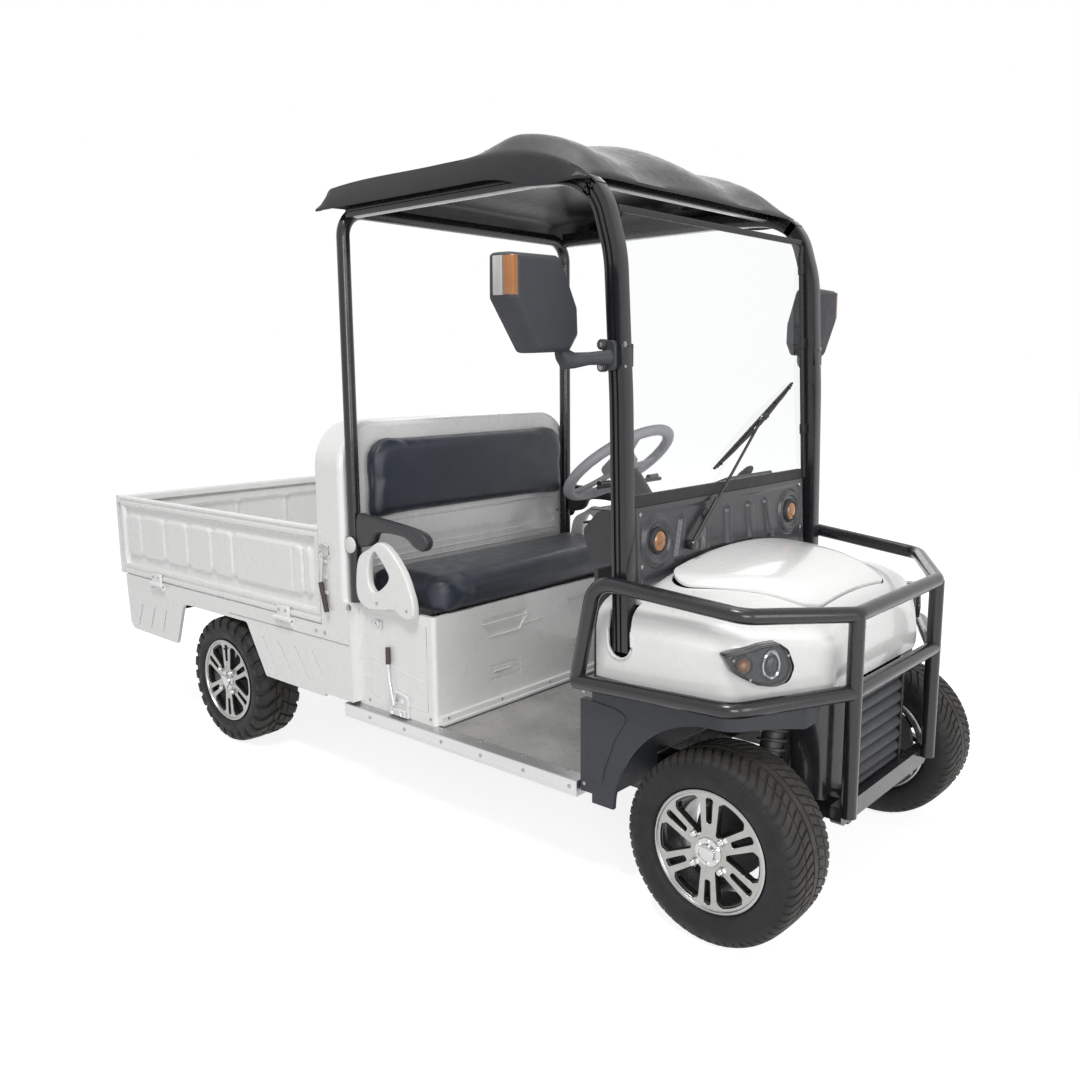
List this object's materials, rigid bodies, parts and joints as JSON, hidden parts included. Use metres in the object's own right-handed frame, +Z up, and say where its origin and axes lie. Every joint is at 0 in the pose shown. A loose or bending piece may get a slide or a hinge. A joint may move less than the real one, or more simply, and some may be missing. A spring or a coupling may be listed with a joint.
{
  "type": "electric utility cart",
  "caption": "Two-seat electric cart with a roof, bench seat, front guard bar and a drop-side cargo bed.",
  "frame": {"origin": "on the ground under the middle of the bounding box", "axes": "+X forward, +Y to the driver's left, +Z up"},
  "size_m": [3.02, 1.6, 1.945],
  "materials": {
    "body_white": "gloss white paint",
    "chassis_black": "satin black",
    "battery_case": "moulded case",
    "axle_steel": "dark painted steel",
    "floor_plate": "chequered plate",
    "cab_trim": "grained dark plastic",
    "sill_aluminium": "brushed",
    "grey_plastic": "matte dark grey",
    "seat_vinyl": "dark vinyl, sewn",
    "post_black": "gloss black",
    "roof_black": "gloss black moulding",
    "scuttle_grey": "semi-gloss dark grey",
    "amber_lens": "amber lens",
    "screen_glass": "clear",
    "rubber_black": "rubber",
    "lamp_unit": "dark lamp housing",
    "lever_steel": "plated",
    "latch_steel": "painted",
    "red_lens": "red lens",
    "tyre_rubber": "black, dusty tread",
    "rim_alloy": "machined face, black pockets",
    "wheel_grip": "light grey grip"
  },
  "bodies": {
    "chassis": {"chassis_frame": "chassis_black", "battery_pack": "battery_case", "rear_axle": "axle_steel", "leaf_springs": "axle_steel", "front_suspension": "axle_steel", "cab_floor": "floor_plate", "front_wall": "cab_trim", "sills": "sill_aluminium", "seat_box": "body_white", "seat_guards": "body_white", "armrests": "grey_plastic", "headboard": "body_white", "back_pad": "seat_vinyl", "rear_hoop": "post_black", "front_posts": "post_black", "roof": "roof_black", "scuttle_panel": "scuttle_grey", "scuttle_lamps": "amber_lens", "windscreen": "screen_glass", "wiper": "rubber_black", "bonnet": "body_white", "cowl": "body_white", "fenders": "grey_plastic", "headlights": "lamp_unit", "bull_bar": "post_black", "grille": "grey_plastic", "mirrors": "grey_plastic", "dashboard": "cab_trim", "steering_column": "cab_trim", "pedals": "rubber_black", "brake_lever": "lever_steel", "bed_floor": "body_white", "bed_skirts": "body_white", "latches": "latch_steel", "rear_apron": "chassis_black", "tail_lamps": "red_lens"},
    "right_knuckle": {"right_knuckle": "axle_steel"},
    "left_knuckle": {"left_knuckle": "axle_steel"},
    "front_right_wheel": {"front_right_tyre": "tyre_rubber", "front_right_rim": "rim_alloy"},
    "front_left_wheel": {"front_left_tyre": "tyre_rubber", "front_left_rim": "rim_alloy"},
    "rear_right_wheel": {"rear_right_tyre": "tyre_rubber", "rear_right_rim": "rim_alloy"},
    "rear_left_wheel": {"rear_left_tyre": "tyre_rubber", "rear_left_rim": "rim_alloy"},
    "steering_wheel": {"steering_wheel": "wheel_grip"},
    "right_side_board": {"right_side_board": "body_white"},
    "left_side_board": {"left_side_board": "body_white"},
    "tailgate": {"tailgate": "body_white"},
    "seat_cushion": {"seat_cushion": "seat_vinyl"}
  },
  "joints": [
    {"name": "right_steer", "type": "hinge", "parent": "chassis", "child": "right_knuckle", "pos_m": [1.28, -0.4, 0.23], "axis": [0, 0, 1], "range_deg": [-27, 27]},
    {"name": "left_steer", "type": "hinge", "parent": "chassis", "child": "left_knuckle", "pos_m": [1.28, 0.4, 0.23], "axis": [0, 0, 1], "range_deg": [-27.5, 27.5]},
    {"name": "steering_wheel_turn", "type": "hinge", "parent": "chassis", "child": "steering_wheel", "pos_m": [0.435, 0.235, 1.02], "axis": [-0.6157, 0, 0.788], "range_deg": [-400, 400]},
    {"name": "front_right_roll", "type": "hinge", "parent": "right_knuckle", "child": "front_right_wheel", "pos_m": [1.28, -0.4665, 0.23], "axis": [0, 1, 0], "continuous": true},
    {"name": "front_left_roll", "type": "hinge", "parent": "left_knuckle", "child": "front_left_wheel", "pos_m": [1.28, 0.4665, 0.23], "axis": [0, 1, 0], "continuous": true},
    {"name": "rear_right_roll", "type": "hinge", "parent": "chassis", "child": "rear_right_wheel", "pos_m": [-0.74, -0.4665, 0.23], "axis": [0, 1, 0], "continuous": true},
    {"name": "rear_left_roll", "type": "hinge", "parent": "chassis", "child": "rear_left_wheel", "pos_m": [-0.74, 0.4665, 0.23], "axis": [0, 1, 0], "continuous": true},
    {"name": "right_side_drop", "type": "hinge", "parent": "chassis", "child": "right_side_board", "pos_m": [-0.8, -0.549, 0.519], "axis": [1, 0, 0], "range_deg": [0, 170]},
    {"name": "left_side_drop", "type": "hinge", "parent": "chassis", "child": "left_side_board", "pos_m": [-0.8, 0.549, 0.519], "axis": [-1, 0, 0], "range_deg": [0, 170]},
    {"name": "tailgate_drop", "type": "hinge", "parent": "chassis", "child": "tailgate", "pos_m": [-1.501, 0, 0.519], "axis": [0, -1, 0], "range_deg": [0, 170]},
    {"name": "seat_tip", "type": "hinge", "parent": "chassis", "child": "seat_cushion", "pos_m": [0.334, 0, 0.6206], "axis": [0, 1, 0], "range_deg": [0, 45]}
  ],
  "couplings": [
    {"joint": "left_steer", "follows": "right_steer", "ratio": 1},
    {"joint": "steering_wheel_turn", "follows": "right_steer", "ratio": 14}
  ]
}
